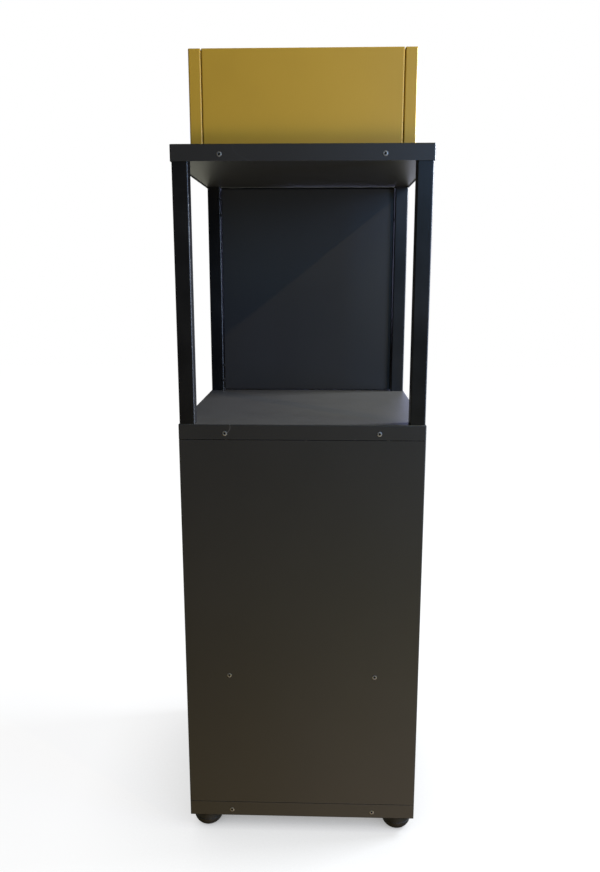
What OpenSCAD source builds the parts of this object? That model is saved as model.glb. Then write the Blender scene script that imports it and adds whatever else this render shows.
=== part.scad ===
// Free-standing newspaper stand: folded sheet-steel shelves and panels on a square-tube frame,
// with an open display bay, a closed cabinet under it and a header box on top.
// Millimetres, +Z up, front towards -Y. The origin is on the floor under the middle of the stand.

/* [Stand] */
// Overall width across the shelf flanges
stand_w = 400; // [330:1:600]
// Overall depth across the shelf flanges
stand_d = 400; // [330:1:600]
// Height of the closed cabinet between the base tray and the display shelf
cabinet_h = 664; // [450:1:900]
// Clear height of the display bay
bay_h = 404; // [200:1:600]
// Height of the flange round the display shelf and the top shelf
shelf_band_h = 25; // [24:0.5:40]

/* [Sheet metal] */
// Thickness of every folded sheet
sheet_t = 1.5; // [1:0.1:1.8]
// Outside radius of the folds
fold_r = 2; // [2:0.1:3]
// Visible gap between neighbouring panels
panel_gap = 1; // [0.5:0.1:2]
// Clearance between pieces that lie against each other
fit_gap = 0.3; // [0.2:0.05:0.5]

/* [Frame tube] */
// Side of the square post tube, and width of the rails
tube_w = 25; // [20:1:30]
// Height of the rail tube
rail_h = 20; // [18:1:22]
// Wall of the posts and rails
tube_wall = 1.5; // [1.2:0.1:2]
// Outside corner radius of the posts and rails
tube_r = 2; // [2:0.1:3]

/* [Storage shelf] */
// Height of the storage shelf's top above the rim of the base tray
storage_shelf_h = 262.5; // [150:0.5:400]
// Height of the storage shelf's flange
storage_flange_h = 25; // [22:1:40]

/* [Cabinet panels] */
// Depth of the front panel's side returns
front_return = 15; // [8:1:40]

/* [Bay back panel] */
// Distance of the back panel's face in front of the stand's rear outline
back_panel_depth = 17; // [14:1:22]
// Gap between the back panel and the posts beside it
back_panel_gap = 0.8; // [0.5:0.1:2]
// Height of a hook slot in the left rear post
hook_slot_h = 5; // [4:0.5:10]
// Width of a hook slot across the post's face
hook_slot_w = 6; // [4:0.5:10]
// Distance of the end hooks from the ends of the back panel
hook_end = 21; // [12:1:40]
// Distance between the two hooks of a pair
hook_pitch = 30; // [15:1:60]

/* [Header] */
// Height of the header box
header_h = 140; // [80:1:300]
// Distance of the header box from the shelf's outline
header_margin = 27.5; // [10:0.5:50]
// Width of the strip that each header side shows at the front and rear
header_strip = 19; // [15:0.5:40]
// Gap between the strips and the panels between them
header_gap = 0.8; // [0.5:0.1:2]
// Width of the lips and returns inside the header
header_lip = 12; // [9:0.5:20]
// Distance of the header bolts from the header's front and rear
header_bolt_inset = 45; // [30:1:80]

/* [Service door] */
// Clearance round the door
door_gap = 2; // [2:0.1:3]
// Distance of the pivot from the door's hinge edge
pivot_edge = 18; // [18:0.5:24]
// Distance of the pivot behind the door's outer face
pivot_in = 8; // [7:0.5:8]
// Radius of the pivot pins
pivot_r = 2.5; // [2:0.1:3]

/* [Lock] */
// Distance of the lock from the door's free edge
lock_inset = 27; // [24:1:60]
// Height of the lock above the storage shelf
lock_rise = 150; // [60:1:150]
// Radius of the lock's housing
lock_r = 9.5; // [8:0.5:11]
// Length of the cam from its axis to its tip
cam_reach = 26; // [25:0.1:26.5]

/* [Feet] */
// Height of the feet
foot_h = 30; // [20:1:40]
// Radius of a foot at the base tray
foot_top_r = 26; // [20:0.5:28]
// Radius of a foot at the floor
foot_bottom_r = 13; // [12:0.5:18]
// Distance of a foot's axis from the outline
foot_inset = 29; // [27:0.5:36]
// Thickness of the threaded plates over the feet
foot_plate_t = 6; // [4:0.5:8]
// Side of the threaded plates
foot_plate_w = 60; // [50:1:80]
// Radius of the foot screws
foot_screw_r = 4; // [3:0.5:4]

/* [Rivets] */
// Distance of the rivets from the stand's edges
rivet_inset = 75; // [50:1:110]
// Distance of the rivets below the top of a shelf
rivet_drop = 15; // [10:0.5:16]
// Height of the base rivets above the bottom of the frame
base_rivet_rise = 4.5; // [4.5:0.5:14]
// Radius of a rivet's head
rivet_head_r = 4; // [3.5:0.1:4.5]
// Height of a rivet's head
rivet_head_h = 1; // [0.8:0.1:1.5]
// Radius of a rivet's shank
rivet_r = 2; // [1.6:0.1:2.4]

/* [Hidden] */
$fn = 48;

// Side numbers for pieces that repeat round the stand, counted anticlockwise from above
FRONT = 0;
RIGHT = 1;
REAR = 2;
LEFT = 3;

// Heights of the levels
base_z = foot_h;
base_top = base_z + sheet_t + foot_plate_t + rail_h;
cabinet_top = base_top + cabinet_h;
display_top = cabinet_top + shelf_band_h;
bay_top = display_top + bay_h;
shelf_top = bay_top + shelf_band_h;
storage_top = base_top + storage_shelf_h;

// Frame
post_inset = sheet_t + fit_gap;
post_x = stand_w/2 - post_inset - tube_w/2;
post_y = stand_d/2 - post_inset - tube_w/2;
inner_x = post_x - tube_w/2;
inner_y = post_y - tube_w/2;
post_bottom = base_z + sheet_t + foot_plate_t;
post_top = shelf_top - sheet_t - fit_gap;
base_rail_z = post_bottom;
mid_rail_z = display_top - sheet_t - rail_h;
top_rail_z = shelf_top - sheet_t - rail_h;

// Rivets: the sheets that each one clamps, the hole that it fills and its closed end
hole_gap = 0.1;
band_grip = sheet_t + fit_gap + tube_wall;
shelf_grip = 2*sheet_t + fit_gap;
// Deep enough for a sheet and the wall behind it, but not for the far wall of a tube
hole_depth = band_grip + 1;
rivet_tail = 3;
rivet_tail_r = rivet_r + 0.8;
mandrel_r = 1.4;
mandrel_depth = 2;

// Bay back panel
back_w = 2*(inner_x - back_panel_gap);
back_face_y = stand_d/2 - back_panel_depth;
back_return = back_panel_depth - post_inset;
back_bottom = display_top + panel_gap;
back_top = bay_top - panel_gap;
back_rivet_inset = 60;
hook_h = hook_slot_h - 0.6;

// Header
header_w = stand_w - 2*header_margin;
header_d = stand_d - 2*header_margin;
header_top = shelf_top + header_h;
header_panel_w = header_w - 2*header_strip - 2*header_gap;
header_joint_z = header_h/4;
header_grip = 2*sheet_t + header_gap;
header_bolt_x = header_w/2 - header_strip/2;
header_bolt_y = header_d/2 - header_bolt_inset;
header_bolt_r = 2.5;
header_hex_r = 4.6;
header_head_h = 3.5;
header_nut_h = 4;
cover_w = header_w - header_strip;
cover_d = header_d - 2*header_lip - 2*panel_gap;
cover_rivet_x = header_w/2 - 0.75*header_strip;
cover_rivet_y = header_d/2 - header_bolt_inset;

// Service door between the rear posts, just less deep than they are, with its pivot towards +X
door_w = 2*(inner_x - door_gap);
door_depth = post_inset + tube_w - fit_gap;
door_bottom = base_top + door_gap;
door_top = cabinet_top - door_gap;
door_h = door_top - door_bottom;
pivot_x = door_w/2 - pivot_edge;
pivot_y = stand_d/2 - pivot_in;
bush_gap = 0.05;
bush_wall = 1.5;
bush_flange_t = 1;
bush_r = pivot_r + bush_gap + bush_wall;
bush_flange_r = bush_r + 1.5;
pivot_reach = 6;
pivot_tail = 4;
collar_r = pivot_r + 2.5;

// Keeper that stops the door and holds the cam: a strap across the left rear post's front face
keeper_t = 2;
keeper_h = 30;
keeper_arm = 13;
keeper_rivet_pitch = 18;

// Lock, with its axis along Y
lock_x = -door_w/2 + lock_inset;
lock_z = storage_top + lock_rise;
lock_flange_r = lock_r + 2;
lock_flange_h = 0.8*rivet_head_h;
lock_len = 17;
lock_nut_h = 4;
lock_nut_r = lock_r + 4.5;
plug_r = 6;
plug_gap = 0.05;
plug_shoulder_r = 7.5;
plug_shoulder_h = 1.5;
plug_stem_r = 5;
plug_square = 7;
cam_t = 2;
cam_w = 16;
cam_gap = 0.4;
cam_top = post_inset + tube_w + keeper_t + cam_gap;
cam_screw_r = 2;
cam_screw_head_r = 4.5;
cam_screw_head_h = 2;
cam_screw_len = 8;
key_slot = [1.4, 8, 7];

// The storage shelf stops short of the door's swing
swing_r = sqrt(pow(pivot_edge, 2) + pow(door_depth - pivot_in, 2));
swing_gap = 5;
storage_rear_y = pivot_y - swing_r - swing_gap;

// Feet
foot_x = stand_w/2 - foot_inset;
foot_y = stand_d/2 - foot_inset;
foot_shoulder_h = foot_h/3;
foot_recess_r = 9;
foot_recess_h = 12;
foot_washer_r = 8;
foot_washer_t = 1.6;
foot_head_r = 6.5;
foot_head_h = 5;

// Paints
panel_grey = [0.19, 0.18, 0.16];
frame_black = [0.07, 0.07, 0.09];
header_yellow = [0.63, 0.52, 0.21];
zinc = [0.62, 0.63, 0.64];
rubber_black = [0.08, 0.08, 0.07];
nylon_white = [0.85, 0.85, 0.82];

// ---- Shapes that repeat ----

// Rectangle with round corners, centred
module rounded_rect(w, h, r) {
    square([w - 2*r, h], center = true);
    square([w, h - 2*r], center = true);
    for (x = [-1, 1], y = [-1, 1])
        translate([x*(w/2 - r), y*(h/2 - r)]) circle(r);
}

// Block with all of its edges rounded, centred
module soft_block(w, d, h, r) {
    intersection() {
        linear_extrude(h, center = true) rounded_rect(w, d, r);
        rotate([90, 0, 0]) linear_extrude(d, center = true) rounded_rect(w, h, r);
        rotate([90, 0, 90]) linear_extrude(w, center = true) rounded_rect(d, h, r);
    }
}

// Sheet folded down on all four sides: the skin's outer face is at z = 0, the flanges end at -h
module folded_tray(w, d, h) {
    difference() {
        intersection() {
            translate([0, 0, -h]) soft_block(w, d, 2*h, fold_r);
            translate([-w/2, -d/2, -h]) cube([w, d, h]);
        }
        translate([0, 0, -h])
            soft_block(w - 2*sheet_t, d - 2*sheet_t, 2*h - 2*sheet_t, fold_r - sheet_t);
    }
}

// Outline of a sheet with both sides folded towards +Y; its outer face lies on the X axis
module channel_outline(w, depth) {
    difference() {
        intersection() {
            translate([0, depth]) rounded_rect(w, 2*depth, fold_r);
            translate([-w/2, 0]) square([w, depth]);
        }
        translate([0, depth])
            rounded_rect(w - 2*sheet_t, 2*depth - 2*sheet_t, fold_r - sheet_t);
    }
}

// Outline of a sheet with one fold: its outer corner is at the origin, with one leg along -Y
// and one along -X
module angle_outline(leg_y, leg_x) {
    span = 2*max(leg_x, leg_y);
    difference() {
        intersection() {
            translate([-span/2, -span/2]) rounded_rect(span, span, fold_r);
            translate([-leg_x, -leg_y]) square([leg_x, leg_y]);
        }
        translate([-span/2, -span/2])
            rounded_rect(span - 2*sheet_t, span - 2*sheet_t, fold_r - sheet_t);
    }
}

// Outline of a rectangular tube, centred
module tube_outline(w, h) {
    difference() {
        rounded_rect(w, h, tube_r);
        rounded_rect(w - 2*tube_wall, h - 2*tube_wall, tube_r - tube_wall);
    }
}

// Distance of a side from the middle of the stand, and half the length along it
function side_out(side) = side % 2 == 0 ? stand_d/2 : stand_w/2;
function side_half(side) = side % 2 == 0 ? stand_w/2 : stand_d/2;

// Puts children on the outline of one side, at a place along it, with +Z pointing outwards
module on_side(side, along, z) {
    rotate([0, 0, 90*side])
        translate([along, -side_out(side), z])
            rotate([90, 0, 0]) children();
}

// The same at both rivet places of the named sides
module at_rivets(sides, z) {
    for (side = sides, end = [-1, 1])
        on_side(side, end*(side_half(side) - rivet_inset), z) children();
}

// Blind rivet: its head sits on z = 0 and its closed end clamps at z = -grip
module blind_rivet(grip) {
    cap_r = (pow(rivet_head_r, 2) + pow(rivet_head_h, 2))/(2*rivet_head_h);
    difference() {
        union() {
            rotate_extrude() intersection() {
                translate([0, rivet_head_h - cap_r]) circle(cap_r, $fn = 96);
                square([rivet_head_r, rivet_head_h]);
            }
            translate([0, 0, -grip - rivet_tail]) cylinder(r = rivet_r, h = grip + rivet_tail);
            translate([0, 0, -grip - rivet_tail]) cylinder(r = rivet_tail_r, h = rivet_tail);
        }
        translate([0, 0, rivet_head_h - mandrel_depth]) cylinder(r = mandrel_r, h = mandrel_depth + 1);
    }
}

// Cutter for a rivet's hole through a wall on z = 0
module rivet_hole(depth) {
    translate([0, 0, -depth]) cylinder(r = rivet_r + hole_gap, h = depth + 1);
}

// ---- Frame ----

module post(x, y) {
    translate([x*post_x, y*post_y, post_bottom])
        linear_extrude(post_top - post_bottom) tube_outline(tube_w, tube_w);
}

// Heights of the back panel's hooks
hook_levels = [back_bottom + hook_end, back_bottom + hook_end + hook_pitch,
               back_top - hook_end - hook_pitch, back_top - hook_end];

// Heights of the rivets in the back panel's right flange
back_rivet_levels = [back_bottom + back_rivet_inset, back_top - back_rivet_inset];
back_rivet_y = back_face_y + back_return/2;

// Rivets that hold the back panel to the right rear post, pointing along +X
module at_back_rivets() {
    for (z = back_rivet_levels)
        translate([back_w/2 - sheet_t, back_rivet_y, z]) rotate([0, -90, 0]) children();
}

// Rivets that hold the keeper to the left rear post, with their heads towards -Y
module at_keeper_rivets() {
    for (z = [-1, 1])
        translate([-post_x, inner_y - keeper_t, lock_z + z*keeper_rivet_pitch/2])
            rotate([90, 0, 0]) children();
}

module front_left_post() {
    color(frame_black) post(-1, -1);
}

module front_right_post() {
    color(frame_black) post(1, -1);
}

module rear_left_post() {
    color(frame_black) difference() {
        post(-1, 1);
        for (z = hook_levels)
            translate([-inner_x - hook_slot_w, inner_y - 1, z - hook_slot_h/2])
                cube([hook_slot_w + 1, back_face_y - inner_y + 2*sheet_t + 1, hook_slot_h]);
        at_keeper_rivets() rivet_hole(hole_depth);
    }
}

module rear_right_post() {
    color(frame_black) difference() {
        post(1, 1);
        at_back_rivets() rivet_hole(hole_depth);
    }
}

// Rail between two posts on one side of the stand, with its rivet holes
module rail(side, z, rivet_z) {
    half = side_half(side) - post_inset - tube_w;
    color(frame_black) difference() {
        rotate([0, 0, 90*side])
            translate([-half, -side_out(side) + post_inset + tube_w/2, z + rail_h/2])
                rotate([90, 0, 90]) linear_extrude(2*half) tube_outline(tube_w, rail_h);
        at_rivets([side], rivet_z) rivet_hole(hole_depth);
    }
}

module base_rail(side) {
    rail(side, base_rail_z, base_rail_z + base_rivet_rise);
}

module mid_rail(side) {
    rail(side, mid_rail_z, display_top - rivet_drop);
}

module top_rail(side) {
    rail(side, top_rail_z, shelf_top - rivet_drop);
}

module base_front_rail() {
    base_rail(FRONT);
}

module base_rear_rail() {
    color(frame_black) difference() {
        base_rail(REAR);
        translate([pivot_x, pivot_y, base_top - 2*tube_wall])
            cylinder(r = pivot_r + hole_gap, h = 3*tube_wall);
    }
}

module base_left_rail() {
    base_rail(LEFT);
}

module base_right_rail() {
    base_rail(RIGHT);
}

module mid_front_rail() {
    mid_rail(FRONT);
}

module mid_rear_rail() {
    color(frame_black) difference() {
        mid_rail(REAR);
        translate([pivot_x, pivot_y, mid_rail_z - tube_wall])
            cylinder(r = pivot_r + hole_gap, h = 3*tube_wall);
    }
}

module mid_left_rail() {
    mid_rail(LEFT);
}

module mid_right_rail() {
    mid_rail(RIGHT);
}

module top_front_rail() {
    top_rail(FRONT);
}

module top_rear_rail() {
    top_rail(REAR);
}

module top_left_rail() {
    top_rail(LEFT);
}

module top_right_rail() {
    top_rail(RIGHT);
}

// ---- Shelves ----

// All four corners, as signs
CORNERS = [[-1, -1], [1, -1], [-1, 1], [1, 1]];

// Holes that the posts pass through, each a clearance larger than the post
module post_holes(z, h) {
    for (c = CORNERS)
        translate([c[0]*post_x, c[1]*post_y, z])
            linear_extrude(h) rounded_rect(tube_w + 2*fit_gap, tube_w + 2*fit_gap, tube_r);
}

// Cutters that take whole corners off a sheet that lies inside the flanges, clear of the posts
module corner_notches(corners, z, h) {
    notch = tube_w + fit_gap;
    over = 1;
    for (c = corners)
        translate([c[0]*(stand_w/2 - post_inset - notch/2 + over),
                   c[1]*(stand_d/2 - post_inset - notch/2 + over), z])
            cube([notch + 2*over, notch + 2*over, h], center = true);
}

module foot_plates() {
    plate_x = stand_w/2 - post_inset - fit_gap - foot_plate_w/2;
    plate_y = stand_d/2 - post_inset - fit_gap - foot_plate_w/2;
    color(zinc) for (c = CORNERS)
        difference() {
            translate([c[0]*plate_x, c[1]*plate_y, base_z + sheet_t])
                linear_extrude(foot_plate_t) rounded_rect(foot_plate_w, foot_plate_w, tube_r);
            translate([c[0]*foot_x, c[1]*foot_y, base_z])
                cylinder(r = foot_screw_r + 0.05, h = sheet_t + foot_plate_t + 1);
        }
}

module base_tray() {
    color(panel_grey) difference() {
        translate([0, 0, base_z]) mirror([0, 0, 1])
            folded_tray(stand_w, stand_d, base_top - base_z);
        at_rivets([FRONT, RIGHT, REAR, LEFT], base_rail_z + base_rivet_rise) rivet_hole(hole_depth);
        for (c = CORNERS)
            translate([c[0]*foot_x, c[1]*foot_y, base_z - 1])
                cylinder(r = foot_screw_r + fit_gap, h = sheet_t + 2);
    }
}

module display_shelf() {
    color(panel_grey) difference() {
        translate([0, 0, display_top]) folded_tray(stand_w, stand_d, shelf_band_h);
        post_holes(display_top - sheet_t - 1, sheet_t + 2);
        at_rivets([FRONT, RIGHT, REAR, LEFT], display_top - rivet_drop) rivet_hole(hole_depth);
    }
}

module top_shelf() {
    color(panel_grey) difference() {
        translate([0, 0, shelf_top]) folded_tray(stand_w, stand_d, shelf_band_h);
        at_rivets([FRONT, RIGHT, REAR, LEFT], shelf_top - rivet_drop) rivet_hole(hole_depth);
        at_header_bolts() translate([0, 0, -sheet_t - 1])
            cylinder(r = header_bolt_r + fit_gap, h = sheet_t + 2);
    }
}

// Flat sheet that closes the top shelf from below, against the underside of the rails
module top_shelf_underpan() {
    w = stand_w - 2*post_inset;
    d = stand_d - 2*post_inset;
    color(panel_grey) difference() {
        translate([-w/2, -d/2, top_rail_z - sheet_t]) cube([w, d, sheet_t]);
        corner_notches(CORNERS, top_rail_z, 4*sheet_t);
    }
}

// Tray that hangs between the panels, notched round the front posts
module storage_shelf() {
    front_y = -stand_d/2 + post_inset;
    depth = storage_rear_y - front_y;
    color(panel_grey) difference() {
        translate([0, (front_y + storage_rear_y)/2, storage_top])
            folded_tray(stand_w - 2*post_inset, depth, storage_flange_h);
        corner_notches([[-1, -1], [1, -1]], storage_top, 3*storage_flange_h);
        at_rivets([FRONT, RIGHT, LEFT], storage_top - rivet_drop) rivet_hole(hole_depth);
    }
}

// ---- Cabinet panels ----

panel_bottom = base_top + panel_gap;
panel_h = cabinet_h - 2*panel_gap;

module front_panel() {
    color(panel_grey) difference() {
        translate([0, -stand_d/2, panel_bottom])
            linear_extrude(panel_h) channel_outline(stand_w, front_return);
        at_rivets([FRONT], storage_top - rivet_drop) rivet_hole(hole_depth);
    }
}

// Side panel on +X, folded round the rear post
module side_panel(side) {
    leg = stand_d - front_return - panel_gap;
    color(panel_grey) difference() {
        mirror([side == LEFT ? 1 : 0, 0, 0])
            translate([stand_w/2, stand_d/2, panel_bottom])
                linear_extrude(panel_h) angle_outline(leg, post_inset + tube_w);
        at_rivets([side], storage_top - rivet_drop) rivet_hole(hole_depth);
    }
}

module left_side_panel() {
    side_panel(LEFT);
}

module right_side_panel() {
    side_panel(RIGHT);
}

module bay_back_panel() {
    color(panel_grey) difference() {
        union() {
            translate([0, back_face_y, (back_bottom + back_top)/2]) rotate([90, 0, 0])
                folded_tray(back_w, back_top - back_bottom, back_return);
            for (z = hook_levels)
                translate([-inner_x - hook_slot_w + 1, back_face_y, z - hook_h/2])
                    cube([hook_slot_w + back_panel_gap + fold_r, sheet_t, hook_h]);
        }
        at_back_rivets() rivet_hole(hole_depth);
    }
}

// ---- Header box ----

// Places of the bolts that hold the header down, on the shelf's top face
module at_header_bolts() {
    for (c = CORNERS)
        translate([c[0]*header_bolt_x, c[1]*header_bolt_y, shelf_top]) children();
}

// Places of the rivets between the strips' lips and the panels' flanges, pointing at the lip
module at_header_joints() {
    for (x = [-1, 1], y = [-1, 1], z = [-1, 1])
        translate([x*(header_panel_w/2 - sheet_t), y*(header_d/2 - header_lip/2 - fold_r/2),
                   shelf_top + header_h/2 + z*header_joint_z])
            rotate([0, -90*x, 0]) children();
}

// Places of the rivets that hold the cover under the top returns
module at_cover_rivets() {
    for (x = [-1, 1], y = [-1, 0, 1])
        translate([x*cover_rivet_x, y*cover_rivet_y, header_top]) children();
}

// Side of the header: a shallow pan with lips along its front and rear returns
module header_side(x) {
    wall_x = x*(header_w/2 - header_strip/2);
    color(header_yellow) difference() {
        translate([wall_x, 0, shelf_top + header_h/2]) difference() {
            soft_block(header_strip, header_d, header_h, fold_r);
            soft_block(header_strip - 2*sheet_t, header_d - 2*sheet_t, header_h - 2*sheet_t,
                       fold_r - sheet_t);
            translate([-x*header_strip/2, 0, 0])
                cube([4*sheet_t, header_d - 2*header_lip, header_h - 2*sheet_t], center = true);
        }
        at_header_bolts() cylinder(r = header_bolt_r + fit_gap, h = 4*sheet_t, center = true);
        at_header_joints() rivet_hole(header_grip + 1);
        at_cover_rivets() rivet_hole(sheet_t + 1);
    }
}

module header_left_side() {
    header_side(-1);
}

module header_right_side() {
    header_side(1);
}

// Panel between the strips, with its face towards -Y (y = -1) or +Y (y = 1)
module header_panel(y) {
    color(header_yellow) difference() {
        translate([0, y*header_d/2, shelf_top + header_h/2]) rotate([-90*y, 0, 0])
            folded_tray(header_panel_w, header_h, header_lip);
        at_header_joints() rivet_hole(header_grip + 1);
    }
}

module header_front_panel() {
    header_panel(-1);
}

module header_rear_panel() {
    header_panel(1);
}

module header_top_panel() {
    color(header_yellow) difference() {
        translate([-cover_w/2, -cover_d/2, header_top - 2*sheet_t]) cube([cover_w, cover_d, sheet_t]);
        at_cover_rivets() rivet_hole(2*sheet_t + 1);
    }
}

module header_bolts() {
    color(zinc) at_header_bolts() {
        translate([0, 0, sheet_t]) cylinder(r = header_hex_r, h = header_head_h, $fn = 6);
        translate([0, 0, -sheet_t - header_nut_h - 2])
            cylinder(r = header_bolt_r, h = 2*sheet_t + header_nut_h + 2);
    }
}

module header_nuts() {
    color(zinc) at_header_bolts() translate([0, 0, -sheet_t - header_nut_h]) difference() {
        cylinder(r = header_hex_r, h = header_nut_h, $fn = 6);
        translate([0, 0, -1]) cylinder(r = header_bolt_r + 0.05, h = header_nut_h + 2);
    }
}

module header_joint_rivets() {
    color(zinc) at_header_joints() blind_rivet(header_grip);
}

module header_top_rivets() {
    color(zinc) at_cover_rivets() blind_rivet(2*sheet_t);
}

// ---- Rivets ----

module band_rivets() {
    color(zinc) for (z = [base_rail_z + base_rivet_rise, display_top - rivet_drop, shelf_top - rivet_drop])
        at_rivets([FRONT, RIGHT, REAR, LEFT], z) blind_rivet(band_grip);
}

module storage_shelf_rivets() {
    color(zinc) at_rivets([FRONT, RIGHT, LEFT], storage_top - rivet_drop) blind_rivet(shelf_grip);
}

module back_panel_rivets() {
    color(zinc) at_back_rivets() blind_rivet(sheet_t + back_panel_gap + tube_wall);
}

// ---- Feet ----

// Tapered foot: a straight shoulder under the tray, then an arc down to the floor
module foot(c) {
    taper_h = foot_h - foot_shoulder_h;
    step = foot_top_r - foot_bottom_r;
    arc_r = (pow(step, 2) + pow(taper_h, 2))/(2*step);
    color(rubber_black) translate([c[0]*foot_x, c[1]*foot_y, 0]) difference() {
        rotate_extrude() intersection() {
            square([foot_top_r, foot_h]);
            union() {
                translate([0, taper_h]) square([foot_top_r, foot_shoulder_h]);
                translate([foot_top_r - arc_r, taper_h]) circle(arc_r, $fn = 180);
            }
        }
        translate([0, 0, -1]) cylinder(r = foot_recess_r, h = foot_recess_h + 1);
        cylinder(r = foot_screw_r + fit_gap, h = foot_h + 1);
    }
}

module front_left_foot() {
    foot([-1, -1]);
}

module front_right_foot() {
    foot([1, -1]);
}

module rear_left_foot() {
    foot([-1, 1]);
}

module rear_right_foot() {
    foot([1, 1]);
}

module foot_washers() {
    color(zinc) for (c = CORNERS)
        translate([c[0]*foot_x, c[1]*foot_y, foot_recess_h - foot_washer_t]) difference() {
            cylinder(r = foot_washer_r, h = foot_washer_t);
            translate([0, 0, -1]) cylinder(r = foot_screw_r + fit_gap, h = foot_washer_t + 2);
        }
}

module foot_screws() {
    head_z = foot_recess_h - foot_washer_t - foot_head_h;
    tip_z = base_z + sheet_t + foot_plate_t - 0.5;
    socket_r = 3;
    color(zinc) for (c = CORNERS)
        translate([c[0]*foot_x, c[1]*foot_y, head_z]) difference() {
            union() {
                cylinder(r = foot_head_r, h = foot_head_h);
                cylinder(r = foot_screw_r, h = tip_z - head_z);
            }
            translate([0, 0, -1]) cylinder(r = socket_r, h = foot_head_h - 1, $fn = 6);
        }
}

// ---- Service door ----

module door_panel() {
    color(panel_grey) difference() {
        translate([0, stand_d/2, (door_bottom + door_top)/2]) rotate([-90, 0, 0])
            folded_tray(door_w, door_h, door_depth);
        translate([pivot_x, pivot_y, door_bottom - 1]) cylinder(r = bush_r + hole_gap, h = door_h + 2);
        translate([lock_x, stand_d/2 - sheet_t - 1, lock_z]) rotate([-90, 0, 0])
            cylinder(r = lock_r + hole_gap, h = sheet_t + 2);
    }
}

// Puts children at a door flange, with +Z pointing out of the door: below (-1) or above (1)
module at_pivot(end) {
    translate([pivot_x, pivot_y, end < 0 ? door_bottom : door_top])
        mirror([0, 0, end < 0 ? 1 : 0]) children();
}

// Pin fixed in a rail: its collar sits on the rail and its end reaches into the door
module pivot_pin(rail_gap) {
    collar_z = bush_flange_t + fit_gap;
    translate([0, 0, -pivot_reach]) cylinder(r = pivot_r, h = pivot_reach + rail_gap + pivot_tail);
    translate([0, 0, collar_z]) cylinder(r = collar_r, h = rail_gap - collar_z);
}

module door_pivot_pins() {
    color(zinc) {
        at_pivot(-1) pivot_pin(door_bottom - base_top);
        at_pivot(1) pivot_pin(mid_rail_z - door_top);
    }
}

module door_pivot_bushes() {
    color(nylon_white) for (end = [-1, 1]) at_pivot(end) difference() {
        union() {
            translate([0, 0, -2*sheet_t]) cylinder(r = bush_r, h = 2*sheet_t);
            cylinder(r = bush_flange_r, h = bush_flange_t);
        }
        translate([0, 0, -2*sheet_t - 1]) cylinder(r = pivot_r + bush_gap, h = 2*sheet_t + bush_flange_t + 2);
    }
}

// ---- Lock ----

// Puts children on the lock's axis, with +Z pointing out of the door's face
module at_lock() {
    translate([lock_x, stand_d/2, lock_z]) rotate([-90, 0, 0]) children();
}

module lock_housing() {
    color(zinc) at_lock() difference() {
        union() {
            cylinder(r = lock_flange_r, h = lock_flange_h);
            translate([0, 0, -lock_len]) cylinder(r = lock_r, h = lock_len);
        }
        translate([0, 0, -lock_len - 1]) cylinder(r = plug_r + plug_gap, h = lock_len + lock_flange_h + 2);
    }
}

module lock_nut() {
    color(zinc) at_lock() translate([0, 0, -sheet_t - lock_nut_h]) difference() {
        cylinder(r = lock_nut_r, h = lock_nut_h, $fn = 6);
        translate([0, 0, -1]) cylinder(r = lock_r + 0.05, h = lock_nut_h + 2);
    }
}

module lock_plug() {
    face = lock_flange_h - 0.2;
    color(zinc) at_lock() difference() {
        union() {
            translate([0, 0, -lock_len - fit_gap]) cylinder(r = plug_r, h = lock_len + fit_gap + face);
            translate([0, 0, -lock_len - fit_gap - plug_shoulder_h])
                cylinder(r = plug_shoulder_r, h = plug_shoulder_h);
            translate([0, 0, -cam_top]) cylinder(r = plug_stem_r, h = cam_top - lock_len);
            translate([-plug_square/2, -plug_square/2, -cam_top - cam_t])
                cube([plug_square, plug_square, cam_t]);
        }
        translate([-key_slot[0]/2, -key_slot[1]/2, face - key_slot[2]])
            cube([key_slot[0], key_slot[1], key_slot[2] + 1]);
        translate([0, 0, -cam_top - cam_t - 1])
            cylinder(r = cam_screw_r + 0.05, h = cam_screw_len + 2);
    }
}

// Cam pointing up, which is its unlocked place
module lock_cam() {
    color(zinc) at_lock() translate([0, 0, -cam_top - cam_t]) difference() {
        union() {
            cylinder(r = cam_w/2, h = cam_t);
            translate([-cam_w/2, -cam_reach, 0]) cube([cam_w, cam_reach, cam_t]);
        }
        cube([plug_square + 0.1, plug_square + 0.1, 4*cam_t], center = true);
    }
}

module lock_cam_screw() {
    color(zinc) at_lock() translate([0, 0, -cam_top - cam_t]) {
        translate([0, 0, -cam_screw_head_h]) cylinder(r = cam_screw_head_r, h = cam_screw_head_h);
        cylinder(r = cam_screw_r, h = cam_screw_len);
    }
}

// Strap on the left rear post: its arm stops the door's edge, and the cam turns in behind it
module lock_keeper() {
    keeper_w = tube_w - tube_r + keeper_arm;
    color(zinc) difference() {
        translate([-inner_x + keeper_arm - keeper_w/2, inner_y, lock_z]) rotate([90, 0, 0])
            linear_extrude(keeper_t) rounded_rect(keeper_w, keeper_h, tube_r);
        at_keeper_rivets() rivet_hole(hole_depth);
    }
}

module keeper_rivets() {
    color(zinc) at_keeper_rivets() blind_rivet(keeper_t + tube_wall);
}

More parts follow.
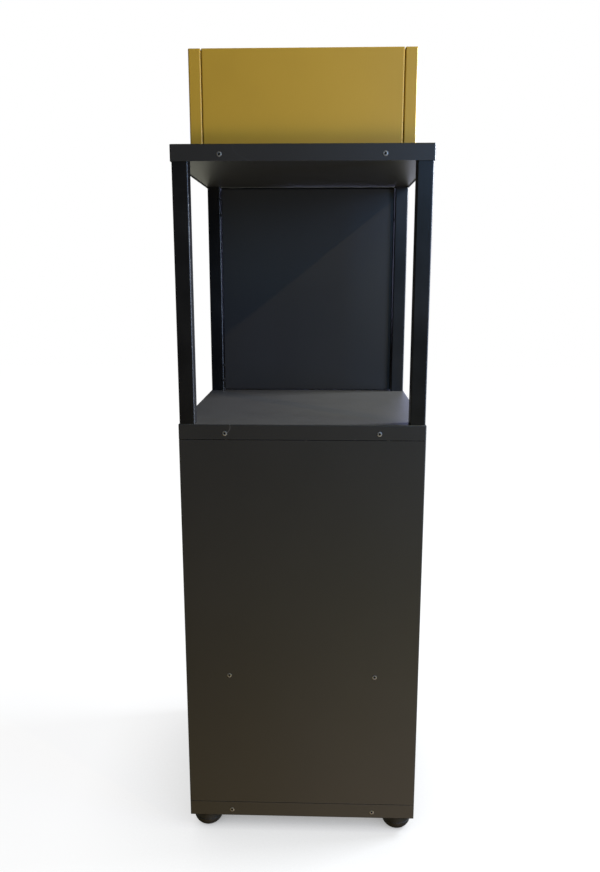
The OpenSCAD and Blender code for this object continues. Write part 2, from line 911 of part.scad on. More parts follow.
front_left_post();
front_right_post();
rear_left_post();
rear_right_post();
base_front_rail();
base_rear_rail();
base_left_rail();
base_right_rail();
mid_front_rail();
mid_rear_rail();
mid_left_rail();
mid_right_rail();
top_front_rail();
top_rear_rail();
top_left_rail();
top_right_rail();
foot_plates();
base_tray();
display_shelf();
top_shelf();
top_shelf_underpan();
front_panel();
left_side_panel();
right_side_panel();
storage_shelf();
bay_back_panel();
header_left_side();
header_right_side();
header_front_panel();
header_rear_panel();
header_top_panel();
header_bolts();
header_nuts();
header_joint_rivets();
header_top_rivets();
band_rivets();
storage_shelf_rivets();
back_panel_rivets();
front_left_foot();
front_right_foot();
rear_left_foot();
rear_right_foot();
foot_washers();
foot_screws();
door_panel();
door_pivot_pins();
door_pivot_bushes();
lock_housing();
lock_nut();
lock_plug();
lock_cam();
lock_cam_screw();
lock_keeper();
keeper_rivets();
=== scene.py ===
"""Looks of a free-standing newspaper stand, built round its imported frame.

The stand is powder-coated sheet steel on a square-tube frame. The sheets, posts and rails are shown as
they are designed and get painted surfaces here. Rivets, feet and the lock are made again with
the finer shapes that a close look shows. Metres, +Z up, front towards -Y.
"""

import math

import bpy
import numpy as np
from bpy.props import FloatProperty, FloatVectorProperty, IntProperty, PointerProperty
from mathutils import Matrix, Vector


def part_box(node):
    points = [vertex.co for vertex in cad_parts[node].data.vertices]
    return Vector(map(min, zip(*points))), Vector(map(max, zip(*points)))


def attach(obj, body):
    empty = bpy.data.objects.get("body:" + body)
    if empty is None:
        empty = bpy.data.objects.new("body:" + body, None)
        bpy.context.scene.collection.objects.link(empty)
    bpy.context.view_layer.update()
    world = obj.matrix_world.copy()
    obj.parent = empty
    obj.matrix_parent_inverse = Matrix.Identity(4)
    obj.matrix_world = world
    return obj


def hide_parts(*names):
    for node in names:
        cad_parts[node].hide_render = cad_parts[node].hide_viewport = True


bl_info = {
    "name": "Newspaper stand",
    "version": (1, 0, 0),
    "blender": (4, 5, 0),
    "location": "3D View > Sidebar > Stand",
    "description": "Paints a newspaper stand and adds its rivets, feet, lock and studio",
    "category": "Object",
}

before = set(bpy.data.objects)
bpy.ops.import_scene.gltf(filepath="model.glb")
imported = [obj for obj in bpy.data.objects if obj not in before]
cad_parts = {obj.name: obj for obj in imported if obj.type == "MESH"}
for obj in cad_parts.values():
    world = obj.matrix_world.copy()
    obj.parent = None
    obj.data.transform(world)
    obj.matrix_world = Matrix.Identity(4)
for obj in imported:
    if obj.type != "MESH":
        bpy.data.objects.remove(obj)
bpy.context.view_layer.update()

MM = 0.001
AXES = range(3)

# The nodes by the finish that each one has
SHEETS = [
    "base_tray", "display_shelf", "top_shelf", "top_shelf_underpan", "front_panel",
    "left_side_panel", "right_side_panel", "storage_shelf", "bay_back_panel", "door_panel",
]
TUBES = [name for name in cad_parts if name.endswith(("_post", "_rail"))]
HEADER = [
    "header_left_side", "header_right_side", "header_front_panel", "header_rear_panel",
    "header_top_panel",
]
RIVETS = {
    "band_rivets": "stand", "storage_shelf_rivets": "stand", "back_panel_rivets": "stand",
    "header_joint_rivets": "stand", "header_top_rivets": "stand", "keeper_rivets": "stand",
}
FEET = [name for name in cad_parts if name.endswith("_foot")]
ZINC = [
    "foot_plates", "foot_washers", "foot_screws", "header_bolts", "header_nuts",
    "door_pivot_pins", "lock_cam", "lock_cam_screw", "lock_keeper",
]
NYLON = ["door_pivot_bushes"]
CHROME = ["lock_plug"]

# Name of the painted shade that a turned piece stores at its points
PAINTED_SHADE = "painted_shade"


# ---- Sizes and colours that a user would change ----


class StandPaint(bpy.types.PropertyGroup):
    """Colours and surface of the paints."""

    panel_colour: FloatVectorProperty(
        name="Panels", description="Powder coat of the shelves and panels",
        subtype="COLOR", size=3, min=0, max=1, default=(0.0230, 0.0225, 0.0225),
    )
    frame_colour: FloatVectorProperty(
        name="Frame", description="Paint of the posts and rails",
        subtype="COLOR", size=3, min=0, max=1, default=(0.0045, 0.0045, 0.0055),
    )
    header_colour: FloatVectorProperty(
        name="Header", description="Powder coat of the header box",
        subtype="COLOR", size=3, min=0, max=1, default=(0.468, 0.291, 0.033),
    )
    panel_roughness: FloatProperty(
        name="Panel roughness", description="Roughness of the panels where they are clean",
        subtype="FACTOR", min=0.1, max=1, default=0.40,
    )
    frame_roughness: FloatProperty(
        name="Frame roughness", description="Roughness of the posts where they are clean",
        subtype="FACTOR", min=0.1, max=1, default=0.34,
    )
    header_roughness: FloatProperty(
        name="Header roughness", description="Roughness of the header box where it is clean",
        subtype="FACTOR", min=0.1, max=1, default=0.42,
    )
    peel: FloatProperty(
        name="Orange peel", description="Depth of the powder coat's waves",
        unit="LENGTH", min=0, max=0.0005, default=0.00003, precision=6,
    )
    # Edge wear sets the chips and also the lighter edge line, which is partly a painted highlight.
    wear: FloatProperty(
        name="Edge wear", description="How much of the edges has lost its paint",
        subtype="FACTOR", min=0, max=1, default=0.3,
    )
    dust: FloatProperty(
        name="Dust", description="How much dust lies on the faces that look up",
        subtype="FACTOR", min=0, max=1, default=0.5,
    )


class StandHardware(bpy.types.PropertyGroup):
    """Shapes of the pieces that are made again."""

    mandrel_radius: FloatProperty(
        name="Mandrel hole", description="Radius of the hole that the broken mandrel leaves",
        unit="LENGTH", min=0.0005, max=0.002, default=0.0018, precision=5,
    )
    mandrel_depth: FloatProperty(
        name="Mandrel depth", description="Depth of the broken mandrel below the head's top",
        unit="LENGTH", min=0.0005, max=0.003, default=0.0019, precision=5,
    )
    rivet_segments: IntProperty(
        name="Rivet segments", description="Faces round a rivet", min=12, max=96, default=32,
    )
    foot_edge: FloatProperty(
        name="Foot edge", description="Radius of the moulded edges of a foot",
        unit="LENGTH", min=0.0002, max=0.003, default=0.0014, precision=5,
    )
    foot_groove: FloatProperty(
        name="Foot groove", description="Depth of the groove below a foot's shoulder",
        unit="LENGTH", min=0, max=0.002, default=0.0006, precision=5,
    )
    thread_pitch: FloatProperty(
        name="Thread pitch", description="Pitch of the thread on the lock's housing",
        unit="LENGTH", min=0.0005, max=0.003, default=0.0012, precision=5,
    )
    thread_depth: FloatProperty(
        name="Thread depth", description="Depth of the thread on the lock's housing",
        unit="LENGTH", min=0.0001, max=0.001, default=0.0005, precision=5,
    )


class StandStage(bpy.types.PropertyGroup):
    """Camera, floor and light."""

    camera_height: FloatProperty(
        name="Camera height", description="Height of the lens above the floor",
        unit="LENGTH", min=0.2, max=3, default=0.984,
    )
    camera_distance: FloatProperty(
        name="Camera distance", description="Distance of the lens from the stand's front",
        unit="LENGTH", min=0.5, max=6, default=1.230,
    )
    camera_side: FloatProperty(
        name="Camera side", description="Distance of the lens to the right of the middle",
        unit="LENGTH", min=-1, max=1, default=0.036,
    )
    aim_height: FloatProperty(
        name="Aim height", description="Height of the point on the front that the lens looks at",
        unit="LENGTH", min=0, max=2, default=0.728,
    )
    aim_side: FloatProperty(
        name="Aim side", description="Distance of that point to the right of the middle",
        unit="LENGTH", min=-1, max=1, default=-0.003,
    )
    lens: FloatProperty(
        name="Lens", description="Focal length on a 36 mm sensor, in millimetres",
        unit="CAMERA", min=10, max=200, default=32.18,
    )
    key_power: FloatProperty(
        name="Key light", description="Power of the light up on the right, level with the stand",
        unit="POWER", min=0, max=2000, default=114.0,
    )
    top_power: FloatProperty(
        name="Top light", description="Power of the light above the stand", unit="POWER",
        min=0, max=500, default=15.0,
    )
    side_power: FloatProperty(
        name="Side light", description="Power of the tall cool light on the right", unit="POWER",
        min=0, max=500, default=31.0,
    )
    lamp_power: FloatProperty(
        name="Lamp light", description="Power of the small lamp in front on the right", unit="POWER",
        min=0, max=500, default=22.0,
    )
    front_power: FloatProperty(
        name="Front light", description="Power of the soft light in front on the right", unit="POWER",
        min=0, max=500, default=7.5,
    )
    rear_power: FloatProperty(
        name="Rear light", description="Power of the soft light behind the stand", unit="POWER",
        min=0, max=500, default=8.0,
    )
    floor_glow: FloatProperty(
        name="Floor glow", description="Light that the pale floor gives near the stand",
        subtype="FACTOR", min=0, max=1, default=0.93,
    )
    shadow_reach: FloatProperty(
        name="Shadow reach", description="How far the stand darkens the floor", unit="LENGTH",
        min=0.05, max=3, default=0.25,
    )
    shadow_softness: FloatProperty(
        name="Shadow softness", description="The lower, the lighter the floor close to the stand",
        min=0.1, max=2, default=0.4,
    )


# ---- Shader expressions ----


class Value:
    """An output socket. Arithmetic on a varying number adds Math nodes to its tree."""

    def __init__(self, tree, socket):
        self.tree = tree
        self.socket = socket

    def math(self, operation, *others):
        sockets = dict(enumerate((self, *others)))
        return self.tree.node("ShaderNodeMath", {"operation": operation}, sockets)

    def __add__(self, other):
        return self.math("ADD", other)

    def __mul__(self, other):
        return self.math("MULTIPLY", other)

    def __sub__(self, other):
        return self.math("SUBTRACT", other)

    __radd__ = __add__
    __rmul__ = __mul__

    def __rsub__(self, other):
        return self * -1.0 + other

    def __pow__(self, other):
        return self.math("POWER", other)

    def __abs__(self):
        return self.math("ABSOLUTE")

    def lowest(self, other):
        return self.math("MINIMUM", other)

    def highest(self, other):
        return self.math("MAXIMUM", other)

    def step(self, low, high):
        """0 at low, 1 at high and smooth between them; low may be the larger."""
        return self.tree.node(
            "ShaderNodeMapRange", {"interpolation_type": "SMOOTHSTEP"}, {0: self, 1: low, 2: high},
        )


class Tree:
    """The node tree of a material or a world, filled through one method."""

    def __init__(self, owner):
        owner.use_nodes = True
        self.nodes = owner.node_tree.nodes
        self.links = owner.node_tree.links
        self.nodes.clear()

    def node(self, kind, settings=None, sockets=None, out=0):
        """Adds a node: its settings first, then the value or link of each socket."""
        made = self.nodes.new(kind)
        for name, value in (settings or {}).items():
            setattr(made, name, value)
        for key, value in (sockets or {}).items():
            if isinstance(value, Value):
                self.links.new(value.socket, made.inputs[key])
            else:
                made.inputs[key].default_value = value
        return Value(self, made.outputs[out]) if made.outputs else None

    def place(self):
        """Where the point lies on the stand, in metres."""
        return self.node("ShaderNodeTexCoord", out="Object")

    def parts(self, vector):
        split = self.node("ShaderNodeSeparateXYZ", sockets={0: vector})
        outputs = split.socket.node.outputs
        return [Value(self, outputs[k]) for k in AXES]

    def stretched(self, vector, factors):
        return self.node("ShaderNodeVectorMath", {"operation": "MULTIPLY"}, {0: vector, 1: factors})

    def noise(self, vector, scale, detail=2.0, roughness=0.5, distortion=0.0):
        """Cloudy noise from 0 to 1, with scale waves to a metre."""
        sockets = {
            "Vector": vector, "Scale": scale, "Detail": detail,
            "Roughness": roughness, "Distortion": distortion,
        }
        return self.node("ShaderNodeTexNoise", {}, sockets)

    def cells(self, vector, scale):
        """Distance to the nearest of scattered points, scale points to a metre."""
        return self.node("ShaderNodeTexVoronoi", {}, {"Vector": vector, "Scale": scale})

    def blend(self, factor, first, second):
        """Colour that goes from first to second as factor goes from 0 to 1."""
        ends = {0: factor, 6: opaque(first), 7: opaque(second)}
        return self.node("ShaderNodeMix", {"data_type": "RGBA"}, ends, out=2)

    def added(self, parts):
        """Sum of colours, each scaled by its own varying number."""
        total = (0.0, 0.0, 0.0)
        for amount, colour in parts:
            scaled = self.node("ShaderNodeVectorMath", {"operation": "SCALE"}, {0: colour, 3: amount})
            total = self.node("ShaderNodeVectorMath", {"operation": "ADD"}, {0: scaled, 1: total})
        return total

    def facing_up(self):
        normal = self.node("ShaderNodeNewGeometry", out="Normal")
        return self.parts(normal)[2]

    def painted(self, attribute):
        """A number that is stored at the points of the piece."""
        settings = {"attribute_name": attribute}
        return self.node("ShaderNodeAttribute", settings, out="Fac")

    def bump(self, height, distance):
        sockets = {"Height": height, "Distance": distance, "Strength": 1.0}
        return self.node("ShaderNodeBump", {}, sockets)

    def shade(self, **sockets):
        """Principled surface; underscores in a socket's name stand for spaces."""
        named = {name.replace("_", " "): value for name, value in sockets.items()}
        for name in ("Base Color", "Emission Color"):
            if name in named:
                named[name] = opaque(named[name])
        shader = self.node("ShaderNodeBsdfPrincipled", {}, named)
        self.node("ShaderNodeOutputMaterial", {}, {"Surface": shader})


def opaque(colour):
    return colour if isinstance(colour, Value) else (*colour, 1.0)


# ---- Finishes ----


def distance_inside(tree, place, box):
    """For each axis, how far the point lies inside the nearer face of the box."""
    low, high = box
    parts = tree.parts(place)
    return [(parts[k] - low[k]).lowest(high[k] - parts[k]) for k in AXES]


def edge_mask(tree, place, box, width):
    """1 along the box's edges, where the point is near two faces at once, and 0 elsewhere."""
    near = [d.step(width, 0.2 * width) for d in distance_inside(tree, place, box)]
    return near[0] * near[1] + near[1] * near[2] + near[2] * near[0]


def hairlines(tree, place, scale, width, seed):
    """Thin curved scratches: the lines on which a broad noise passes its middle, broken up."""
    shifted = tree.node("ShaderNodeVectorMath", {"operation": "ADD"}, {0: place, 1: seed})
    field = tree.noise(shifted, scale, detail=1.0, distortion=0.6)
    line = abs(field - 0.5).step(width, 0.2 * width)
    patches = tree.noise(shifted, 0.6 * scale, detail=1.0).step(0.60, 0.68)
    return line * patches


def powder_coat(name, box, colour, roughness, look, marks=None):
    """Powder coat on folded sheet: orange peel, handling marks, dust, chips along the edges, and a
    lighter edge line that is partly worn paint and partly a painted highlight.
    """
    material = bpy.data.materials.new(name)
    tree = Tree(material)
    place = tree.place()
    clouds = tree.noise(place, 4.0, detail=3.0)
    wiped = tree.noise(tree.stretched(place, (16.0, 16.0, 5.0)), 1.0, detail=4.0, roughness=0.6)
    peel = tree.noise(place, 620.0, detail=1.0)
    grain = tree.noise(place, 2600.0, detail=1.0)
    edges = edge_mask(tree, place, box, 2.2 * MM)
    chips = edges * tree.noise(place, 85.0, detail=4.0, roughness=0.7).step(
        0.70 - 0.2 * look.wear, 0.78 - 0.2 * look.wear)
    # Lighter line along the edges: partly paint rubbed thin, partly a painted highlight where the folds
    # catch the light.
    edge_wear_and_highlight = edges * 0.5 * look.wear
    scratches = hairlines(tree, place, 5.0, 0.0016, (0.31, 0.77, 0.13))
    up = tree.facing_up().step(0.6, 0.95)
    settled = up * (0.45 + 0.55 * tree.noise(place, 24.0, detail=4.0, roughness=0.65))
    dust = settled * look.dust

    paler = tuple(min(1.0, 1.07 * c) for c in colour)
    darker = tuple(0.93 * c for c in colour)
    # Lighter tone for worn edges and scratches; on the edges it also serves as a painted highlight.
    wear_and_highlight_tone = tuple(1.5 * c + 0.010 for c in colour)
    shade = tree.blend(clouds.step(0.3, 0.7), darker, paler)
    shade = tree.blend(edge_wear_and_highlight, shade, wear_and_highlight_tone)
    shade = tree.blend(scratches * 0.35, shade, wear_and_highlight_tone)
    shade = tree.blend(dust * 0.22, shade, (0.20, 0.19, 0.175))
    if marks is not None:
        shade = tree.blend(marks(tree, place), shade, (0.16, 0.155, 0.15))
    shade = tree.blend(chips * 0.8, shade, (0.30, 0.29, 0.28))

    rough = wiped * 0.05 + (roughness - 0.025)
    rough = rough + dust * 0.22 - edge_wear_and_highlight * 0.10 + scratches * 0.10
    height = peel + grain * 0.35 - chips * 1.5 - scratches * 0.5
    normal = tree.bump(height, look.peel)
    tree.shade(
        Base_Color=shade, Roughness=rough.highest(0.12).lowest(0.95), Metallic=chips * 0.7,
        Normal=normal,
    )
    return material


def shelf_marks(tree, place):
    """A curved scratch beside the left rivet of the flange, and a faint scuff on the shelf at the
    right: an arc about a point of the flange, and a short slanting line."""
    across, deep, up = tree.parts(place)
    arc_across, arc_up, arc_r = -127 * MM, 742 * MM, 11 * MM
    scuff_across, scuff_deep, scuff_slant = 166 * MM, 43 * MM, 2.0
    run, rise = across - arc_across, up - arc_up
    ring = abs((run * run + rise * rise) ** 0.5 - arc_r).step(0.7 * MM, 0.2 * MM)
    on_flange = deep.step(-197 * MM, -199 * MM)
    scratch = ring * run.step(4 * MM, 7 * MM) * on_flange * 0.5
    along = across - scuff_across
    line = abs(deep - scuff_deep + along * scuff_slant).step(5 * MM, 1 * MM)
    on_top = up.step(744 * MM, 746 * MM)
    return scratch + line * abs(along).step(7 * MM, 4 * MM) * on_top * 0.12


def tube_paint(name, box, colour, roughness, look):
    """Smooth black paint on drawn tube: faint draw lines along it, lighter corners that are partly rubbed
    paint and partly a painted highlight, and small chips.
    """
    material = bpy.data.materials.new(name)
    tree = Tree(material)
    place = tree.place()
    low, high = box
    long_axis = max(AXES, key=lambda k: high[k] - low[k])
    along = [6.0 if k == long_axis else 900.0 for k in AXES]
    draw_lines = tree.noise(tree.stretched(place, along), 1.0, detail=2.0)
    clouds = tree.noise(place, 9.0, detail=3.0)
    grain = tree.noise(place, 1400.0, detail=2.0)
    edges = edge_mask(tree, place, box, 2.4 * MM)
    chips = edges * tree.noise(place, 70.0, detail=4.0, roughness=0.7).step(
        0.72 - 0.2 * look.wear, 0.79 - 0.2 * look.wear)
    # Lighter corners: partly rubbed paint, partly a painted highlight along the tube's edges.
    edge_wear_and_highlight = edges * 0.6 * look.wear
    scratches = hairlines(tree, place, 8.0, 0.0022, (0.11, 0.42, 0.87))
    shade = tree.blend(clouds.step(0.3, 0.7), tuple(0.8 * c for c in colour),
                       tuple(1.3 * c + 0.001 for c in colour))
    shade = tree.blend(edge_wear_and_highlight + scratches * 0.5, shade, (0.028, 0.028, 0.030))
    shade = tree.blend(chips * 0.7, shade, (0.24, 0.235, 0.23))
    rough = clouds.step(0.2, 0.8) * 0.10 + (roughness - 0.05) + scratches * 0.12
    normal = tree.bump(grain * 0.6 + draw_lines * 0.8 - chips * 2.0, 0.6 * look.peel)
    tree.shade(Base_Color=shade, Roughness=rough, Metallic=chips * 0.7, Normal=normal)
    return material


def zinc_plate(name):
    """Bright zinc on steel: fine brushed grain, cloudy passivation and dull spots."""
    material = bpy.data.materials.new(name)
    tree = Tree(material)
    place = tree.place()
    clouds = tree.noise(place, 60.0, detail=4.0, roughness=0.6)
    spots = tree.noise(place, 340.0, detail=3.0).step(0.58, 0.72)
    grain = tree.noise(tree.stretched(place, (900.0, 900.0, 2600.0)), 1.0, detail=3.0)
    shade = tree.blend(clouds, (0.50, 0.50, 0.48), (0.66, 0.67, 0.69))
    shade = tree.blend(spots * 0.6, shade, (0.34, 0.335, 0.32))
    rough = clouds * 0.18 + 0.24 + spots * 0.16
    tree.shade(Base_Color=shade, Roughness=rough, Metallic=1.0 - spots * 0.35,
               Normal=tree.bump(grain - spots, 0.00001))
    return material


def rivet_metal(name):
    """Drawn aluminium, dulled by handling, with painted shade in the mandrel hole and under the rim."""
    material = bpy.data.materials.new(name)
    tree = Tree(material)
    place = tree.place()
    clouds = tree.noise(place, 420.0, detail=3.0)
    pits = tree.noise(place, 2600.0, detail=2.0)
    painted_shade = tree.painted(PAINTED_SHADE)
    shade = tree.blend(clouds, (0.20, 0.198, 0.193), (0.32, 0.317, 0.31))
    shade = tree.blend(pits.step(0.55, 0.75) * 0.5, shade, (0.10, 0.097, 0.093))
    # Painted shade: the mandrel hole and the foot of the rim are blended to near black.
    shade = tree.blend(painted_shade, shade, (0.004, 0.004, 0.004))
    metal = (0.85 - pits * 0.2) * (1.0 - painted_shade)
    tree.shade(Base_Color=shade, Roughness=clouds * 0.2 + 0.34 + painted_shade * 0.3, Metallic=metal,
               Normal=tree.bump(pits, 0.00002))
    return material


def chrome_plate(name):
    """Chromium over brushed zinc casting, with fine circular wear from keys."""
    material = bpy.data.materials.new(name)
    tree = Tree(material)
    place = tree.place()
    clouds = tree.noise(place, 130.0, detail=3.0)
    wear = hairlines(tree, place, 160.0, 0.02, (0.2, 0.6, 0.9))
    shade = tree.blend(clouds, (0.58, 0.59, 0.60), (0.72, 0.73, 0.74))
    rough = clouds * 0.10 + 0.12 + wear * 0.25
    tree.shade(Base_Color=shade, Roughness=rough, Metallic=1.0,
               Normal=tree.bump(tree.noise(place, 1500.0) - wear, 0.000004))
    return material


def moulded(name, colour, dusty, roughness, depth):
    """Moulded rubber or nylon: fine pebbled skin, mould haze, and floor dust towards the bottom."""
    material = bpy.data.materials.new(name)
    tree = Tree(material)
    place = tree.place()
    pebbles = tree.cells(place, 1500.0)
    haze = tree.noise(place, 55.0, detail=4.0, roughness=0.6)
    low_down = tree.parts(place)[2].step(12 * MM, 0.0)
    dirt = haze.step(0.35, 0.75) * (0.35 + low_down * 0.65)
    shade = tree.blend(dirt, colour, dusty)
    tree.shade(Base_Color=shade, Roughness=haze * 0.16 + roughness + dirt * 0.08,
               Normal=tree.bump(pebbles + haze * 0.6, depth))
    return material


# ---- Shapes ----


def corners_of(node):
    low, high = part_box(node)
    return tuple(low), tuple(high)


def solids_of(node):
    """The points of each separate solid in a node.

    Points at one place count as one, and each takes the lowest label among the triangles that
    it belongs to, over and over, until the labels stop changing.
    """
    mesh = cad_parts[node].data
    points = np.empty(3 * len(mesh.vertices))
    mesh.vertices.foreach_get("co", points)
    points = points.reshape(-1, 3)
    corners = np.empty(len(mesh.loops), int)
    mesh.loops.foreach_get("vertex_index", corners)
    _, place = np.unique(np.round(points, 6), axis=0, return_inverse=True)
    place = place.ravel()
    triangles = place[corners].reshape(-1, 3)
    label = np.arange(place.max() + 1)
    while True:
        lowest = label[triangles].min(axis=1)
        spread = label.copy()
        for corner in AXES:
            np.minimum.at(spread, triangles[:, corner], lowest)
        if np.array_equal(spread, label):
            break
        label = spread
    return [points[label[place] == one] for one in np.unique(label)]


def arc(centre, radius, start, end, steps):
    """Points (across, up) on an arc, with angles in degrees from the across axis."""
    angle = np.radians(np.linspace(start, end, steps + 1))
    return np.stack([centre[0] + radius * np.cos(angle), centre[1] + radius * np.sin(angle)], axis=1)


def ring_grid(radius, height, turns):
    """Grid of points (x, y, z): radius and height are arrays of rows by turns round +Z."""
    angle = np.linspace(0.0, 2 * math.pi, turns, endpoint=False)
    x = radius * np.cos(angle)[None, :]
    y = radius * np.sin(angle)[None, :]
    return np.stack([x, y, np.broadcast_to(height, x.shape)], axis=-1)


def grid_faces(rows, turns, closed):
    """Quads between neighbouring rows of a grid that closes round its turns.

    With closed, the last row joins the first, as on a washer.
    """
    row = np.arange(rows if closed else rows - 1)[:, None]
    turn = np.arange(turns)[None, :]
    next_row = (row + 1) % rows
    next_turn = (turn + 1) % turns
    quads = np.stack(
        [row * turns + turn, row * turns + next_turn, next_row * turns + next_turn,
         next_row * turns + turn], axis=-1)
    return quads.reshape(-1, 4)


def turned(radius, height, closed=False):
    """Surface round +Z: radius is an array of rows by turns, height has one number a row.

    An open surface starts and ends on the axis, and its two ends become single points with
    triangles round them. A closed one goes round a bore. The rows run so that the outside
    lies to their right.
    """
    turns = radius.shape[1]
    body = slice(None) if closed else slice(1, -1)
    points = ring_grid(radius[body], np.asarray(height)[body, None], turns).reshape(-1, 3)
    rows = len(points) // turns
    faces = [tuple(quad) for quad in grid_faces(rows, turns, closed).tolist()]
    if not closed:
        first, last = len(points), len(points) + 1
        poles = np.array([[0.0, 0.0, height[0]], [0.0, 0.0, height[-1]]])
        points = np.concatenate([points, poles])
        turn = np.arange(turns)
        after = (turn + 1) % turns
        top = (rows - 1) * turns
        faces += [(first, b, a) for a, b in zip(turn.tolist(), after.tolist())]
        faces += [(last, a + top, b + top) for a, b in zip(turn.tolist(), after.tolist())]
    return points, faces


def lathe(profile, turns, closed=False):
    """Surface of revolution: a profile (radius, height) carried round +Z."""
    profile = np.asarray(profile, float)
    return turned(np.repeat(profile[:, :1], turns, axis=1), profile[:, 1], closed)


def turned_to(points, axis, sign, seat):
    """Turns +Z to one axis of the stand, up or down it, and moves the origin to seat."""
    across = [k for k in AXES if k != axis]
    if (axis == 1) != (sign < 0):
        across.reverse()
    turned = np.empty_like(points)
    turned[:, across[0]] = points[:, 0]
    turned[:, across[1]] = points[:, 1]
    turned[:, axis] = sign * points[:, 2]
    return turned + np.asarray(seat)


def add_piece(name, shapes, material, body, nodes, painted_shade=None, smooth_under=40.0):
    """Joins shapes (points, faces) into one piece that stands for the CAD nodes.

    The array list after the nodes holds one array a shape, with the painted shade at each of its points
    from 0 to 1.
    """
    points, faces, start = [], [], 0
    for some_points, some_faces in shapes:
        points.append(some_points)
        faces += [tuple(start + corner for corner in face) for face in some_faces]
        start += len(some_points)
    mesh = bpy.data.meshes.new(name)
    mesh.from_pydata(np.concatenate(points).tolist(), [], faces)
    mesh.materials.append(material)
    if painted_shade is not None:
        mesh.attributes.new(PAINTED_SHADE, "FLOAT", "POINT").data.foreach_set("value", np.concatenate(painted_shade))
    mesh.polygons.foreach_set("use_smooth", [True] * len(mesh.polygons))
    mesh.set_sharp_from_angle(angle=math.radians(smooth_under))
    piece = bpy.data.objects.new(name, mesh)
    bpy.context.scene.collection.objects.link(piece)
    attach(piece, body)
    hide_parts(*nodes)
    return piece


def seat_of(points):
    """Where a rivet's or a flanged turning sits: its axis, its sign, the seat and its reach.

    The axis is the one across which the widest ring lies, the seat is that ring's foot, and the
    head is at the nearer end.
    """
    low, high = points.min(axis=0), points.max(axis=0)
    middle = (low + high) / 2
    size = high - low
    axis = min(AXES, key=lambda k: abs(size[(k + 1) % 3] - size[(k + 2) % 3]))
    across = [k for k in AXES if k != axis]
    radius = np.hypot(points[:, across[0]] - middle[across[0]], points[:, across[1]] - middle[across[1]])
    rim = points[radius > 0.985 * radius.max(), axis]
    to_low, to_high = rim.mean() - low[axis], high[axis] - rim.mean()
    sign = 1 if to_high < to_low else -1
    seat = middle.copy()
    seat[axis] = rim.min() if sign > 0 else rim.max()
    head = high[axis] - seat[axis] if sign > 0 else seat[axis] - low[axis]
    return axis, sign, seat, head, size[axis] - head, radius.max()


def rivet_profile(head_r, head_h, reach, hardware):
    """Blind rivet from the closed end up: bulb, shank, flat underside, rolled rim, low dome,
    then down the mandrel hole to the broken stub."""
    shank_r = 0.5 * head_r
    bulb_h = 3.0 * MM
    bulb_r = shank_r + 0.8 * MM
    rim = 0.4 * head_h
    hole_r = hardware.mandrel_radius
    lip = 0.3 * MM
    seam = reach - bulb_h
    bulb = arc((0.0, -seam - bulb_h / 2), bulb_r, -58, 58, 8)
    bulb[:, 0] = np.minimum(bulb[:, 0], bulb_r)
    bulb[:, 1] = np.clip(bulb[:, 1], -reach, -seam)
    dome_r = (head_r**2 + (head_h - rim) ** 2) / (2 * (head_h - rim))
    across = np.linspace(head_r - 0.3 * rim, hole_r + lip, 9)
    dome = np.stack([across, head_h - dome_r + np.sqrt(dome_r**2 - across**2)], axis=1)
    stub = head_h - hardware.mandrel_depth
    return np.concatenate([
        [(0.0, -reach)], bulb, [(shank_r, -seam), (shank_r, 0.0), (head_r - rim / 2, 0.0)],
        arc((head_r - rim / 2, rim / 2), rim / 2, -90, 60, 5)[1:], dome,
        arc((hole_r + lip, dome[-1, 1] - lip), lip, 90, 180, 4)[1:],
        [(hole_r, stub), (0.72 * hole_r, stub), (0.60 * hole_r, stub + 0.25 * MM),
         (0.0, stub + 0.1 * MM)],
    ])


def rivet_painted_shade(points, head_h, hardware):
    """Painted shade on a rivet: all of it inside the mandrel hole, and some low on the rim."""
    across = np.hypot(points[:, 0], points[:, 1])
    in_hole = (across < 1.02 * hardware.mandrel_radius) & (points[:, 2] > head_h - 2 * MM)
    return np.where(in_hole, 1.0, 0.6 * np.clip(1.0 - points[:, 2] / (0.4 * head_h), 0.0, 1.0))


def foot_profile(top_r, floor_r, shoulder, height, hardware):
    """Moulded foot, a closed profile: floor ring, tapered side on an arc, groove, straight
    shoulder, top face, then down the screw's bore and the washer's recess."""
    edge = hardware.foot_edge
    groove = hardware.foot_groove
    bore_r, recess_r, recess_h = 4.3 * MM, 9.0 * MM, 12.0 * MM
    step = top_r - floor_r
    side_r = (step**2 + shoulder**2) / (2 * step)
    rise = np.linspace(0.5 * edge, shoulder - 2 * groove, 24)
    side = np.stack([top_r - side_r + np.sqrt(side_r**2 - (shoulder - rise) ** 2), rise], axis=1)
    return np.concatenate([
        [(recess_r + edge / 2, 0.0), (side[0, 0] - 0.5 * edge, 0.0)], side,
        [(top_r - groove, shoulder - groove), (top_r - groove, shoulder), (top_r, shoulder + groove)],
        arc((top_r - edge, height - edge), edge, 0, 90, 5),
        [(bore_r, height), (bore_r, recess_h), (recess_r, recess_h), (recess_r, edge / 2)],
    ])


def hexagon(apothem, turns):
    """Radius of a hexagon's outline at each turn; the middle of a flat is at turn 0."""
    angle = np.linspace(0.0, 2 * math.pi, turns, endpoint=False)
    from_flat = np.mod(angle + math.pi / 6, math.pi / 3) - math.pi / 6
    return apothem / np.cos(from_flat)


def thread(radius, depth, pitch, heights, turns):
    """Radius of a screw thread: it falls from crest to root and back once in each pitch, and
    the crest climbs one pitch in a turn."""
    angle = np.linspace(0.0, 1.0, turns, endpoint=False)[None, :]
    phase = np.mod(heights[:, None] / pitch - angle, 1.0)
    return radius - depth * np.abs(2 * phase - 1)


def stacked(rows, turns):
    """Radius and height arrays from a list of (radii, heights), where a single radius is a ring."""
    radius = [np.broadcast_to(np.asarray(radii, float), (len(heights), turns)) for radii, heights in rows]
    return np.concatenate(radius), np.concatenate([heights for _, heights in rows])


